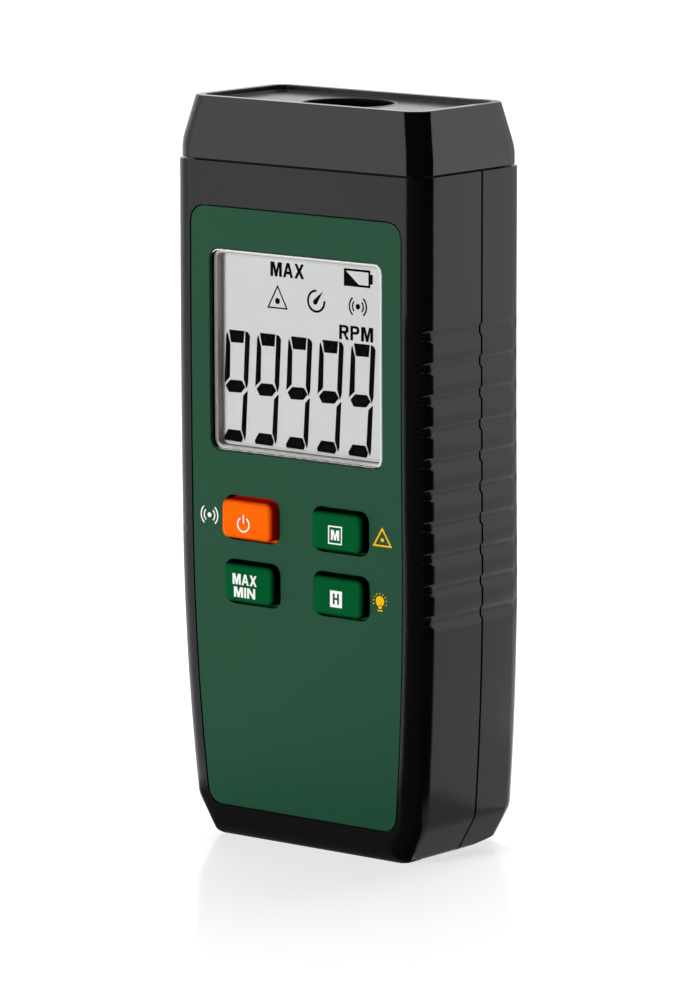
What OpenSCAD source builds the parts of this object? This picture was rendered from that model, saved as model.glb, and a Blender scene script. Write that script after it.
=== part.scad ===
// Handheld laser tachometer: two moulded shells under a sensor cap, a green front panel with a
// display and four keys, a battery bay behind a tilting door, and the electronics inside.
// Millimetres. +X is to the right, the front faces -Y and +Z is up; the foot stands on z = 0.

/* [Case] */
// Width of the case
case_w = 56.5; // [54:0.5:62]
// Depth of the case, from the front face to the back face
case_d = 30; // [29:0.5:36]
// Height of the two shells, up to the seam under the cap
shell_h = 122.7; // [119:0.1:134]
// Radius of the rounded edges of both shells
edge_r = 3.9; // [3.2:0.1:4.4]
// Wall of the shells
wall = 2.2; // [1.8:0.1:2.6]
// Height at which the sides begin to close in towards the foot
taper_z = 56; // [45:0.1:70]
// Radius of the arc along which the sides close in
taper_r = 490; // [400:5:900]
// Height at which the side arc ends and the slanted bottom corner begins
knee_z = 8.1; // [7:0.1:12]
// Slant of the bottom corners from the vertical, in degrees
slant_deg = 31.5; // [26:0.5:40]
// Radius of the knee above the slanted corner
knee_r = 5; // [5:0.1:8]
// Radius of the edge below the slanted corner
foot_r = 2; // [0.4:0.1:3]
// Distance behind the middle of the depth at which the bottom begins to rise towards the back
rise_y = 6.5; // [5:0.1:9]
// Rise of the bottom there, in degrees
rise_deg = 9.5; // [0:0.5:12]
// Height below which the body bows towards the back
bow_z = 103.3; // [85:0.1:110]
// Radius of that bow
bow_r = 2564; // [2000:10:5000]
// Distance of the part line behind the middle of the depth
part_y = 2.25; // [1:0.01:3]
// Width of the shadow gap along the part line
part_gap = 0.5; // [0.2:0.05:0.6]

/* [Grip] */
// Number of grooves on each side
groove_count = 10; // [6:1:11]
// Distance of the top groove's middle below the seam
grip_drop = 27.8; // [24:0.1:32]
// Spacing of the grooves
groove_pitch = 5.6; // [4:0.1:6]
// Height of one groove at the surface
groove_h = 2.4; // [1.6:0.05:3]
// Height of each sloped flank of a groove
groove_flank = 0.55; // [0.2:0.05:0.7]
// Depth of one groove
groove_depth = 0.45; // [0.2:0.05:0.7]

/* [Cap] */
// Height of the cap above the seam
cap_h = 11.3; // [10:0.1:16]
// Height of the straight band above the seam
cap_band = 1.5; // [1:0.1:4]
// How far the straight band stands back from the shells
cap_in = 0.3; // [0:0.05:0.5]
// How far the rim draws in at the sides
rim_in_x = 2.15; // [0.8:0.05:2.4]
// How far the rim draws in at the front and back
rim_in_y = 1.9; // [0.8:0.05:2.4]
// Width of the rim around the sunk top plate
rim_w = 1.7; // [1.2:0.1:2]
// Depth of the sunk top plate below the rim
plate_sunk = 1; // [0.6:0.1:1.6]
// Thickness of the top plate
plate_t = 1.8; // [1.2:0.1:2.2]
// Radius of the sensor port in the top plate
port_r = 8.2; // [7.6:0.1:8.6]
// Gap along the seam between the cap and the shells
seam_gap = 0.25; // [0.1:0.05:0.4]
// Length of the cap's skirt inside the shells
skirt_l = 3; // [2:0.1:4]

/* [Front panel and display] */
// Margin of the panel inside the case outline
panel_margin = 4.55; // [4.2:0.05:4.8]
// Height of the panel's bottom edge
panel_bottom = 6.3; // [5.4:0.1:8]
// Distance of the panel's top edge below the seam
panel_drop = 8; // [6:0.1:10]
// Thickness of the panel
panel_t = 1; // [0.8:0.1:1.2]
// Width of the display opening in the panel
window_w = 39; // [36:0.1:40]
// Height of the display opening in the panel
window_h = 36.4; // [34:0.1:37.5]
// Distance of the display opening below the panel's top edge
window_drop = 7.3; // [6.5:0.1:8]
// Thickness of the display's glass
glass_t = 2; // [1.6:0.1:2.2]

/* [Keys] */
// Width of a key
key_w = 11.5; // [10:0.1:12]
// Height of a key
key_h = 7; // [5:0.1:7.4]
// Gap between a key and the edge of its hole
key_gap = 0.55; // [0.25:0.05:0.6]
// Distance of the key columns from the sides of the case
key_side = 18.15; // [17.5:0.05:18.5]
// Distance of the upper row of keys below the display opening
key_drop = 11.75; // [11:0.05:13]
// Spacing of the two rows of keys
key_row = 11.6; // [10:0.1:12]
// How far three of the keys stand out of the panel
key_rise = 1.5; // [1.2:0.1:2]
// How far the power key stands out of the panel
power_rise = 1.8; // [1.2:0.1:2.4]
// Travel of a key
key_travel = 0.8; // [0.4:0.1:0.9]
// Radius of a key's rounded front edges
key_edge = 0.9; // [0.4:0.1:1]

/* [Battery bay] */
// Radius of one cell
cell_r = 5.25; // [5:0.05:5.25]
// Length of one cell with its button
cell_l = 44.5; // [43:0.1:44.5]
// Spacing of the cells
cell_pitch = 11; // [10.8:0.1:11.2]
// Height of the floor of the bay
bay_z = 13.9; // [13:0.1:15]
// Height of the springs under the cells
spring_h = 4.5; // [3.5:0.1:5]
// Thickness of the door
door_t = 1.4; // [1.1:0.1:1.5]
// Gap around the door
door_gap = 0.3; // [0.25:0.05:0.4]
// Width of the ledge that the door lies on
door_ledge = 1.8; // [1.4:0.1:2.2]

/* [Screws and tripod bush] */
// Distance of the case screws from the middle
screw_x = 21.3; // [20.9:0.1:21.6]
// Radius of a case screw's shank
screw_r = 1.1; // [0.9:0.05:1.2]
// Radius of a case screw's head
screw_head_r = 2.1; // [1.8:0.05:2.2]
// Radius of the tapped hole of the tripod bush
bush_bore_r = 2.55; // [2.4:0.05:2.6]
// Length of the tripod bush
bush_l = 7; // [6:0.1:8]
// Distance of the tripod bush below the seam
bush_drop = 40; // [30:0.5:46]

/* [Hidden] */
$fn = 48;
fit = 0.1;
eps = 0.05;
through = 1;
half_w = case_w/2;
front_y = -case_d/2;
back_y = case_d/2;
arc_steps = 3;
edge_steps = 5;
edge_step = 90/edge_steps;
side_steps = 5;
bow_steps = 3;

// Heights that hang from the seam
groove_top_z = shell_h - grip_drop;
grip_low = groove_top_z - (groove_count - 1)*groove_pitch - groove_h;
panel_top = shell_h - panel_drop;
window_z = panel_top - window_drop - window_h/2;
key_z = window_z - window_h/2 - key_drop;
key_x = half_w - key_side;
bush_z = shell_h - bush_drop;

// Panel and window
panel_gap = 0.25;
panel_sunk = 0.05;
panel_corner = 2.8;
window_gap = 0.25;
window_sunk = 0.12;
window_corner = 2;
ledge_w = 0.7;

// Boards and display stack, from the front wall backwards
glass_gap = 0.3;
glass_y = front_y + wall + glass_gap;
glass_side = 0.8;
glass_end = 1.2;
glass_half_w = window_w/2 + glass_side;
glass_half_h = window_h/2 + glass_end;
light_t = 2.4;
light_in = 0.6;
light_gap = 0.3;
strip_h = 2;
strip_in = 0.2;
strip_side = 1;
frame_wall = 1.4;
frame_back = 0.2;
frame_top = window_z + glass_half_h + fit + frame_wall;
board_y = glass_y + glass_t + light_t + light_gap;
board_t = 1.6;
board_back = board_y + board_t;
board_side = 6.85;
board_half_w = half_w - board_side;
board_tail = 17;
board_low = key_z - key_row - board_tail;
board_over = 0.6;
board_top = frame_top + board_over;
chip_w = 12;
chip_t = 1.2;
radio_w = 14;
radio_h = 12;
radio_t = 2;
radio_in = 6;

// Cap levels
cap_z = shell_h + seam_gap;
rim_z = shell_h + cap_h;
plate_top = rim_z - plate_sunk;
plate_low = plate_top - plate_t;
rim_half_w = half_w - rim_in_x;
rim_half_d = case_d/2 - rim_in_y;
rim_soft = 0.15;
skirt_gap = 0.15;
collar_l = 5;
collar_t = 1.2;
port_bevel = 1;

// Sensor group under the port
well_r = port_r - 0.2;
well_wall = 1.3;
well_depth = 6;
holder_r = well_r + well_wall;
well_floor = plate_low - well_depth;
header_w = 10;
header_t = 2.5;
sensor_z = frame_top + header_t + 0.3;
sensor_t = 1.6;
sensor_half_w = 12;
sensor_gap = 0.2;
sensor_over = 0.6;
seat_w = 0.8;
lens_r = 4.5;
lens_x = 3;
lens_edge = 1.2;
lens_dome = 1.4;
diode_r = 2.5;
diode_h = 1.6;
laser_r = 2.6;
laser_x = -4.8;
laser_l = 10;
laser_out = 0.6;
laser_lens_r = 1.6;
laser_lens_t = 0.4;

// Keys and their switches
upper_z = key_z;
lower_z = key_z - key_row;
key_corner = 1.3;
flange = 0.9;
flange_t = 0.8;
flange_gap = 0.15;
flange_corner = 1.5;
stem_r = 1.7;
switch_w = 6;
switch_t = 2.2;
switch_front = board_y - switch_t;
stem_end = switch_front - 0.9;
plunger_in = 0.8;
plunger_room = 0.2;
plunger_fit = 0.05;

// Posts and screws
post_r = 1.9;
post_edge = 0.4;
post_x = board_half_w - post_r - post_edge;
post_zs = [window_z - glass_half_h - frame_wall - fit - post_r - post_edge, board_low + post_r + post_edge];
bite = 4.5;
bite_r = 0.8;
bite_head_r = 1.7;
bite_head_t = 1.1;
board_hole_r = bite_r + 0.3;
lip_t = wall/2 - fit;
lip_l = 1.2;
screw_tip = wall + 2;
screw_clear = 0.2;
head_depth = 6;
head_t = 1.8;
head_clear = 0.3;
head_wall = 0.8;
boss_wall = 1.6;
boss_r = screw_r + boss_wall;
boss_gap = 0.7;
boss_meet = part_y - lip_l;
screw_zs = [shell_h - skirt_l - boss_r - boss_gap, board_low - boss_r - head_wall - screw_head_r];
slot_l = 2.6;
slot_w = 0.6;
slot_t = 0.8;
bush_wall = 1.6;
bush_r = bush_bore_r + bush_wall;
bush_floor = 1;
bush_sunk = 0.1;

// Battery bay
bay_wall = 1.2;
bay_side = 0.4;
contact_t = 0.4;
contact_w = 8;
bay_half_w = 1.5*cell_pitch + bay_side;
bay_top = bay_z + contact_t + spring_h + fit + cell_l + fit + contact_t;
door_air = 0.4;
cell_y = back_y - door_t - door_air - cell_r;
bay_floor = cell_y - cell_r - fit;
cell_xs = [-cell_pitch, 0, cell_pitch];
button_l = 1.2;
button_r = 1.9;
wire_r = 0.35;
spring_big_r = 3.4;
spring_small_r = 2.2;

// Door
door_half_w = bay_half_w + door_ledge - door_gap;
door_foot = 2;
door_low = bay_z - bay_wall - door_foot;
door_top = bay_top + door_ledge;
door_corner = 2.5;
door_seat = 0.2;
door_skin = 0.9;
tongue_w = 6;
tongue_x = 9;
tongue_l = 1.7;
tongue_t = 0.8;
tongue_root = 1.5;
tongue_drop = 0.25;
tongue_side = 0.4;
tongue_end = 0.8;
tongue_slot = 4;
ridge_w = 14;
ridge_h = 0.8;
ridge_rise = 0.35;
ridge_pitch = 1.8;
ridge_drop = 4;

// How far the bowed body has moved back at height z
function bow(z) = pow(max(bow_z - z, 0), 2)/(2*bow_r);

// Points along an arc from angle a to angle b
function arc(centre, r, a, b, steps) =
    [for (i = [0:steps]) let (t = a + (b - a)*i/steps) centre + r*[cos(t), sin(t)]];

// Points up the right side at a distance inside it: its arc from angle a, then straight to the bow's start
side_c = [half_w - taper_r, taper_z];
function side_points(inset, a) = concat(
    [for (i = [1:side_steps]) let (t = a*(1 - i/side_steps)) side_c + (taper_r - inset)*[cos(t), sin(t)]],
    [for (i = [1:bow_steps]) [half_w - inset, taper_z + (bow_z - taper_z)*i/bow_steps]]
);

// Grip grooves: the profile's heights and shares of the depth, the angles round the front and back
// edges at which the grooves begin, and the lead and narrower tip of their front ends
groove_profile = [[-groove_h/2, 0], [groove_flank - groove_h/2, 1], [groove_h/2 - groove_flank, 1],
    [groove_h/2, 0]];
groove_front_a = 3*edge_step;
groove_back_a = 4*edge_step;
groove_lead = 6;
groove_tip = 0.8;

// Points up the right side to the bow's start, with the grooves sunk by a depth and narrowed by a share
function side_x(z, inset) = side_c.x + sqrt(pow(taper_r - inset, 2) - pow(max(taper_z - z, 0), 2));
function grip_points(inset, a, depth, tip) = let (
    low_a = -asin(max(taper_z - grip_low, 0)/taper_r)
) concat(
    [for (i = [1:side_steps]) let (t = a + (low_a - a)*i/side_steps)
        side_c + (taper_r - inset)*[cos(t), sin(t)]],
    [for (i = [groove_count - 1:-1:0], p = groove_profile)
        let (z = groove_top_z - i*groove_pitch + p.x*tip) [side_x(z, inset) - p.y*depth, z]],
    [[half_w - inset, bow_z]]
);

// Right half of the case outline, from the foot up, at a distance inside it, plain or with grooves
function side_outline(inset, top_z, grip) = let (
    end_a = -asin((taper_z - knee_z)/taper_r),
    knee_c = side_c + (taper_r - knee_r)*[cos(end_a), sin(end_a)],
    r = max(foot_r - inset, eps),
    low = inset + r,
    low_x = knee_c.x + (knee_r - low + (low - knee_c.y)*sin(slant_deg))/cos(slant_deg)
) concat(
    arc([low_x, low], r, -90, -slant_deg, arc_steps),
    arc(knee_c, knee_r - inset, -slant_deg, end_a, arc_steps),
    grip ? grip_points(inset, end_a, grip[0], grip[1]) : side_points(inset, end_a),
    [[half_w - inset, top_z]]
);

// Right half of the panel outline, or of its recess at a smaller inset, with round corners
function panel_outline(inset) = let (
    reach = taper_r - panel_margin - panel_corner,
    low = panel_bottom + panel_corner,
    end_a = -asin((taper_z - low)/reach),
    r = panel_corner + panel_margin - inset
) concat(
    arc(side_c + reach*[cos(end_a), sin(end_a)], r, -90, end_a, 2*arc_steps),
    side_points(inset, end_a),
    arc([half_w - panel_margin - panel_corner, panel_top - panel_corner], r, 0, 90, arc_steps)
);

// Right half of a rounded rectangle, from the bottom up, with points along its side for the bow
function plate_outline(hw, z0, z1, r) = concat(
    arc([hw - r, z0 + r], r, -90, 0, arc_steps),
    [for (i = [1:bow_steps]) [hw, z0 + r + (z1 - z0 - 2*r)*i/(bow_steps + 1)]],
    arc([hw - r, z1 - r], r, 0, 90, arc_steps)
);

// Closed ring from a right half and its mirror image, at depth y, bowed with the body or straight
function ring(right, y, bowed = 1) = concat(
    [for (p = right) [p.x, y + bowed*bow(p.y), p.y]],
    [for (i = [len(right) - 1:-1:0]) [-right[i].x, y + bowed*bow(right[i].y), right[i].y]]
);
function case_ring(inset, y, top_z, grip = false) = ring(side_outline(inset, top_z, grip), y);
function panel_ring(inset, y) = ring(panel_outline(inset), y);

// Rings of one rounded edge: the surface lies at depth inset under the outside
function edge_inset(inset, a) = inset + (edge_r - inset)*(1 - sin(a));
function edge_depth(inset, a) = inset + (edge_r - inset)*(1 - cos(a));
function front_ring(inset, a, top_z, grip = false) =
    case_ring(edge_inset(inset, a), front_y + edge_depth(inset, a), top_z, grip);
function back_ring(inset, a, top_z, grip = false) =
    case_ring(edge_inset(inset, a), back_y - edge_depth(inset, a), top_z, grip);

// Plain shell halves, for the hollows
function front_rings(inset, y_end, top_z) = concat(
    [for (a = [0:edge_step:90]) front_ring(inset, a, top_z)], [case_ring(inset, y_end, top_z)]);
function back_rings(inset, y_start, top_z) = concat(
    [case_ring(inset, y_start, top_z)], [for (a = [90:-edge_step:0]) back_ring(inset, a, top_z)]);

// Outsides of the shell halves with their grooves, steep at the front ends and fading at the back ends
function front_skin(y_end) = concat(
    [for (a = [0:edge_step:90]) if (a < groove_front_a) front_ring(0, a, shell_h, [0, groove_tip])],
    [front_ring(0, groove_front_a - groove_lead, shell_h, [0, groove_tip])],
    [for (a = [groove_front_a:edge_step:90])
        front_ring(0, a, shell_h, [groove_depth, a > groove_front_a ? 1 : groove_tip])],
    [case_ring(0, y_end, shell_h, [groove_depth, 1])]
);
function back_skin(y_start) = concat(
    [case_ring(0, y_start, shell_h, [groove_depth, 1])],
    [for (a = [90:-edge_step:0]) back_ring(0, a, shell_h, [a < groove_back_a ? 0 : groove_depth, 1])]
);

// Solid through a list of rings that run from front to back
module loft(rings) {
    n = len(rings[0]);
    m = len(rings);
    skin = [for (j = [0:m - 2], i = [0:n - 1]) let (a = j*n + i, b = j*n + (i + 1)%n) each
        [[a, b, b + n], [a, b + n, a + n]]];
    front = [for (i = [0:n/2 - 2]) each [[i, n - 1 - i, n - 2 - i], [i, n - 2 - i, i + 1]]];
    last = (m - 1)*n;
    back = [for (f = front) [last + f[0], last + f[2], last + f[1]]];
    polyhedron([for (r = rings) each r], concat(skin, front, back));
}

// Round bar along +Y from a point
module bar_y(from, r, l) translate(from) rotate([-90, 0, 0]) cylinder(r = r, h = l);

// Flat outline in X and Z, extruded from depth y0 to depth y1
module slab_y(y0, y1) translate([0, y1, 0]) rotate([90, 0, 0]) linear_extrude(y1 - y0) children();

// Box between two corners
module box(low, high) translate(low) cube(high - low);

// Rounded rectangle about the origin
module round_rect(hw, hh, r) polygon(concat(
    arc([hw - r, hh - r], r, 0, 90, arc_steps), arc([r - hw, hh - r], r, 90, 180, arc_steps),
    arc([r - hw, r - hh], r, 180, 270, arc_steps), arc([hw - r, r - hh], r, 270, 360, arc_steps)));

module bowed_plate(hw, z0, z1, r, y0, y1)
    loft([ring(plate_outline(hw, z0, z1, r), y0), ring(plate_outline(hw, z0, z1, r), y1)]);

module window_hole(inset) translate([0, window_z])
    round_rect(window_w/2 - inset, window_h/2 - inset, window_corner - inset);
module key_holes() for (x = [-key_x, key_x], z = [upper_z, lower_z])
    translate([x, z]) round_rect(key_w/2 + key_gap, key_h/2 + key_gap, key_corner + key_gap);

module front_case() color("#2b2b2b") {
    part = part_y - part_gap/2;
    difference() {
        loft(front_skin(part));
        difference() {
            loft(front_rings(wall, part + through, shell_h + through));
            for (x = [-post_x, post_x], z = post_zs)
                bar_y([x, 2*front_y, z], post_r, board_y - 2*front_y);
            for (x = [-screw_x, screw_x], z = screw_zs)
                bar_y([x, 2*front_y, z], boss_r, boss_meet - 2*front_y);
        }
        loft([case_ring(wall - lip_t, part_y - lip_l - fit, shell_h - skirt_l),
            case_ring(wall - lip_t, part + through, shell_h - skirt_l)]);
        loft([panel_ring(panel_margin - panel_gap, front_y - through),
            panel_ring(panel_margin - panel_gap, front_y + panel_t + eps)]);
        slab_y(2*front_y, front_y + 2*wall) window_hole(ledge_w);
        slab_y(2*front_y, front_y + 2*wall) key_holes();
        for (x = [-post_x, post_x], z = post_zs)
            bar_y([x, board_y - bite - fit, z], bite_r + eps, bite + through);
        for (x = [-screw_x, screw_x], z = screw_zs)
            bar_y([x, front_y + screw_tip - fit + bow(z), z], screw_r + eps, case_d);
    }
}

module rear_case() color("#262626") {
    part = part_y + part_gap/2;
    difference() {
        union() {
            difference() {
                union() {
                    loft(back_skin(part));
                    loft([case_ring(wall - lip_t + fit, part_y - lip_l, shell_h - skirt_l - fit),
                        case_ring(wall - lip_t + fit, part + through, shell_h - skirt_l - fit)]);
                }
                difference() {
                    loft(back_rings(wall, part_y - lip_l - through, shell_h + through));
                    for (x = [-screw_x, screw_x], z = screw_zs)
                        bar_y([x, boss_meet + eps, z], boss_r + head_wall, case_d);
                    bar_y([0, back_y - bush_l - bush_floor, bush_z], bush_r + bush_wall, case_d);
                }
            }
            box([-bay_half_w - bay_wall, bay_floor - bay_wall, bay_z - bay_wall],
                [bay_half_w + bay_wall, back_y - through, bay_top + bay_wall]);
        }
        translate([0, rise_y, 0]) rotate([rise_deg, 0, 0])
            box([-case_w, 0, -case_d], [case_w, case_d, 0]);
        box([-bay_half_w, bay_floor, bay_z], [bay_half_w, 2*back_y, bay_top]);
        bowed_plate(door_half_w + door_gap, door_low - door_gap, door_top + door_gap, door_corner + door_gap,
            back_y - door_t - door_seat, back_y + 2*through);
        door_y = back_y + bow(door_low);
        for (x = [-tongue_x, tongue_x])
            box([x - tongue_w/2 - tongue_side, door_y - tongue_slot, door_low - tongue_l - tongue_end],
                [x + tongue_w/2 + tongue_side, door_y - door_skin, bay_z - bay_wall]);
        for (x = [-screw_x, screw_x], z = screw_zs) {
            bar_y([x, front_y, z], screw_r + screw_clear, case_d);
            bar_y([x, back_y - head_depth, z], screw_head_r + head_clear, 2*head_depth);
        }
        bar_y([0, back_y + bow(bush_z) - bush_l, bush_z], bush_r + eps, 2*bush_l);
    }
}

// Rounded rectangle of the cap at a share s of the way from its straight band to the rim
function cap_ring(s, z) = let (
    share = (s < 2*rim_soft ? s*s/(4*rim_soft) : s - rim_soft)/(1 - rim_soft),
    low = [half_w - cap_in - (rim_in_x - cap_in)*share - edge_r,
        edge_r + cap_in + (rim_in_y - cap_in)*share - case_d/2]
) ring(concat(arc(low, edge_r, -90, 0, edge_steps), arc([low.x, -low.y], edge_r, 0, 90, edge_steps)), z, 0);

module cap_inside() round_rect(rim_half_w - rim_w, rim_half_d - rim_w, edge_r - rim_w);

module top_cap() color("#1e1e1e") difference() {
    union() {
        difference() {
            rotate([90, 0, 0]) loft(concat([cap_ring(0, cap_z)],
                [for (s = [0, 0.1, 0.2, 0.3, 1])
                    cap_ring(s, cap_z + cap_band + (rim_z - cap_z - cap_band)*s)]));
            translate([0, 0, cap_z - through]) linear_extrude(plate_low - cap_z + through) cap_inside();
            translate([0, 0, plate_top]) linear_extrude(plate_sunk + through) cap_inside();
        }
        difference() {
            translate([0, 0, cap_z - skirt_l]) linear_extrude(skirt_l + through)
                round_rect(half_w - wall - skirt_gap, case_d/2 - wall - skirt_gap, edge_r - wall);
            translate([0, 0, cap_z - skirt_l - through]) linear_extrude(2*skirt_l) cap_inside();
        }
        translate([0, 0, plate_low - collar_l]) cylinder(r = holder_r + fit + collar_t, h = collar_l + eps);
    }
    translate([0, 0, plate_low - collar_l - through]) cylinder(r = holder_r + fit, h = collar_l + through);
    translate([0, 0, plate_low - through]) cylinder(r = port_r, h = plate_t + 2*through);
    translate([0, 0, plate_top - port_bevel])
        cylinder(r1 = port_r, r2 = port_r + port_bevel, h = port_bevel + eps);
}

module front_panel() color("#2a5240") difference() {
    loft([panel_ring(panel_margin, front_y + panel_sunk), panel_ring(panel_margin, front_y + panel_t)]);
    slab_y(2*front_y, 0) window_hole(0);
    slab_y(2*front_y, 0) key_holes();
}

module display_window() color("#d8e0e0", 0.4)
    bowed_plate(window_w/2 - window_gap,
        window_z - window_h/2 + window_gap, window_z + window_h/2 - window_gap,
        window_corner - window_gap, front_y + window_sunk, front_y + panel_t);

module lcd_glass() color("#c9c9c9") box(
    [-glass_half_w, glass_y, window_z - glass_half_h],
    [glass_half_w, glass_y + glass_t, window_z + glass_half_h]);

module backlight_panel() color("#e8ece8") box(
    [-glass_half_w + light_in, glass_y + glass_t, window_z - glass_half_h + strip_h + light_in],
    [glass_half_w - light_in, glass_y + glass_t + light_t, window_z + glass_half_h - strip_h - light_in]);

module lcd_frame() color("#3a3a3a") difference() {
    outer = [glass_half_w + fit + frame_wall, glass_half_h + fit + frame_wall];
    slab_y(glass_y + frame_back, board_y) translate([0, window_z]) square(2*outer, center = true);
    slab_y(front_y, back_y) translate([0, window_z])
        square(2*[glass_half_w + fit, glass_half_h + fit], center = true);
}

module zebra_strip(z) color("#d0a0a8") box(
    [-glass_half_w + strip_side, glass_y + glass_t, z], [glass_half_w - strip_side, board_y, z + strip_h]);
module upper_zebra_strip() zebra_strip(window_z + glass_half_h - strip_h - strip_in);
module lower_zebra_strip() zebra_strip(window_z - glass_half_h + strip_in);

module main_board() color("#1f6b3a") difference() {
    box([-board_half_w, board_y, board_low], [board_half_w, board_back, board_top]);
    for (x = [-post_x, post_x], z = post_zs)
        bar_y([x, board_y - through, z], board_hole_r, board_t + 2*through);
}

module board_screws() color("#b8b8b8") for (x = [-post_x, post_x], z = post_zs) {
    bar_y([x, board_y - bite, z], bite_r, bite + board_t + bite_head_t/2);
    bar_y([x, board_back, z], bite_head_r, bite_head_t);
}

module switch_body(x, z) color("#2a2a2a") difference() {
    box([x - switch_w/2, switch_front, z - switch_w/2], [x + switch_w/2, board_y, z + switch_w/2]);
    bar_y([x, switch_front - through, z], stem_r + plunger_fit,
        through + plunger_in + key_travel + plunger_room);
}
module power_switch() switch_body(-key_x, upper_z);
module memory_switch() switch_body(key_x, upper_z);
module max_min_switch() switch_body(-key_x, lower_z);
module hold_switch() switch_body(key_x, lower_z);

module switch_plunger(x, z) color("#c8c8c0")
    bar_y([x, stem_end, z], stem_r, switch_front + plunger_in - stem_end);
module power_plunger() switch_plunger(-key_x, upper_z);
module memory_plunger() switch_plunger(key_x, upper_z);
module max_min_plunger() switch_plunger(-key_x, lower_z);
module hold_plunger() switch_plunger(key_x, lower_z);

// Key with rounded front edges, a flange that holds it behind the wall, and a stem on its switch
module key(x, z, rise) {
    face = front_y + bow(z) - rise;
    flange_y = front_y + wall + bow(z) + flange_gap;
    rings = concat(
        [for (i = [0:arc_steps]) let (a = 90*i/arc_steps)
            [key_edge*(1 - sin(a)), face + key_edge*(1 - cos(a))]],
        [[0, flange_y + flange_t/2]]);
    translate([x, 0, z]) loft([for (r = rings)
        ring(plate_outline(key_w/2 - r[0], r[0] - key_h/2, key_h/2 - r[0], key_corner - r[0]), r[1], 0)]);
    slab_y(flange_y, flange_y + flange_t) translate([x, z])
        round_rect(key_w/2 + flange, key_h/2 + flange, flange_corner);
    bar_y([x, flange_y + flange_t/2, z], stem_r, stem_end - flange_y - flange_t/2);
}
module power_key() color("#ff6f00") key(-key_x, upper_z, power_rise);
module memory_key() color("#004d25") key(key_x, upper_z, key_rise);
module max_min_key() color("#004d25") key(-key_x, lower_z, key_rise);
module hold_key() color("#004d25") key(key_x, lower_z, key_rise);

module controller_chip() color("#1a1a1a") box(
    [-chip_w/2, board_back, window_z - chip_w/2], [chip_w/2, board_back + chip_t, window_z + chip_w/2]);
module radio_module() color("#8a8f94") box(
    [-radio_w/2, board_back, board_low + radio_in],
    [radio_w/2, board_back + radio_t, board_low + radio_in + radio_h]);

module sensor_header() color("#303030") box(
    [-header_w/2, board_back, sensor_z - header_t], [header_w/2, board_back + header_t, sensor_z]);
module sensor_board() color("#1f6b3a") box(
    [-sensor_half_w, board_back + sensor_gap, sensor_z],
    [sensor_half_w, holder_r + sensor_over, sensor_z + sensor_t]);

module sensor_holder() color("#141414") difference() {
    translate([0, 0, sensor_z + sensor_t]) cylinder(r = holder_r, h = plate_low - fit - sensor_z - sensor_t);
    translate([0, 0, well_floor]) cylinder(r = well_r, h = 2*cap_h);
    translate([lens_x, 0, well_floor - lens_edge]) cylinder(r = lens_r + eps, h = 2*lens_edge);
    translate([lens_x, 0, sensor_z]) cylinder(r = lens_r - seat_w, h = plate_low - sensor_z);
    translate([laser_x, 0, well_floor - laser_l]) cylinder(r = laser_r + eps, h = laser_l + through);
    translate([laser_x, 0, sensor_z]) cylinder(r = laser_r - seat_w, h = well_floor - sensor_z - laser_l/2);
}

// Flat-backed lens with a domed front, turned about its own axis
module lens(r, edge_t, dome) {
    ball_r = (r*r + dome*dome)/(2*dome);
    half_a = asin(r/ball_r);
    rotate_extrude() polygon(concat([[0, 0], [r, 0]],
        arc([0, edge_t + dome - ball_r], ball_r, 90 - half_a, 90, 6)));
}
module collector_lens() color("#cfe0ea", 0.5)
    translate([lens_x, 0, well_floor - lens_edge]) lens(lens_r, lens_edge, lens_dome);
module photodiode() color("#222226") translate([lens_x, 0, sensor_z + sensor_t])
    cylinder(r = diode_r, h = diode_h);
module laser_barrel() color("#b08d3c") translate([laser_x, 0, well_floor - laser_l]) difference() {
    cylinder(r = laser_r, h = laser_l + laser_out);
    translate([0, 0, laser_l - laser_lens_t]) cylinder(r = laser_lens_r + eps, h = laser_l);
}
module laser_lens() color("#cfe0ea", 0.5) translate([laser_x, 0, well_floor - laser_lens_t])
    lens(laser_lens_r, laser_lens_t, laser_lens_t);

// One cell along Z between its contacts; up is 1 with the button at the top and -1 at the bottom
module cell(x, up) color("#3f6ea5") {
    low = bay_z + contact_t + fit;
    mid = bay_z + (bay_top - bay_z)/2;
    translate([x, cell_y, mid]) mirror([0, 0, up > 0 ? 0 : 1]) translate([0, 0, low + spring_h - mid]) {
        cylinder(r = cell_r, h = cell_l - button_l);
        cylinder(r = button_r, h = cell_l);
    }
}
module left_cell() cell(cell_xs[0], 1);
module middle_cell() cell(cell_xs[1], -1);
module right_cell() cell(cell_xs[2], 1);

// Cone spring of round wire on a square plate
module cone_spring() {
    turns = 2.5;
    steps = 36;
    rise = spring_h - 2*wire_r;
    sides = 6;
    pts = [for (i = [0:steps], k = [0:sides - 1]) let (
        t = i/steps,
        a = 360*turns*t,
        r = spring_big_r + (spring_small_r - spring_big_r)*t + wire_r*cos(360*k/sides)
    ) [r*cos(a), r*sin(a), wire_r + rise*t + wire_r*sin(360*k/sides)]];
    skin = [for (i = [0:steps - 1], k = [0:sides - 1]) let (a = i*sides + k, b = i*sides + (k + 1)%sides) each
        [[a, b, b + sides], [a, b + sides, a + sides]]];
    ends = [[for (k = [sides - 1:-1:0]) k], [for (k = [0:sides - 1]) steps*sides + k]];
    polyhedron(pts, concat(skin, ends));
}
module contact_plate() translate([-contact_w/2, -contact_w/2, 0]) cube([contact_w, contact_w, contact_t]);
module at_bay_end(i, top) translate([cell_xs[i], cell_y, top ? bay_top : bay_z])
    mirror([0, 0, top ? 1 : 0]) children();
module spring_contacts() color("#c0c0c4") for (i = [0:2]) at_bay_end(i, i == 1) {
    contact_plate();
    translate([0, 0, contact_t - wire_r/2]) cone_spring();
}
module plate_contacts() color("#c0c0c4") for (i = [0:2]) at_bay_end(i, i != 1) contact_plate();

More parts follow.
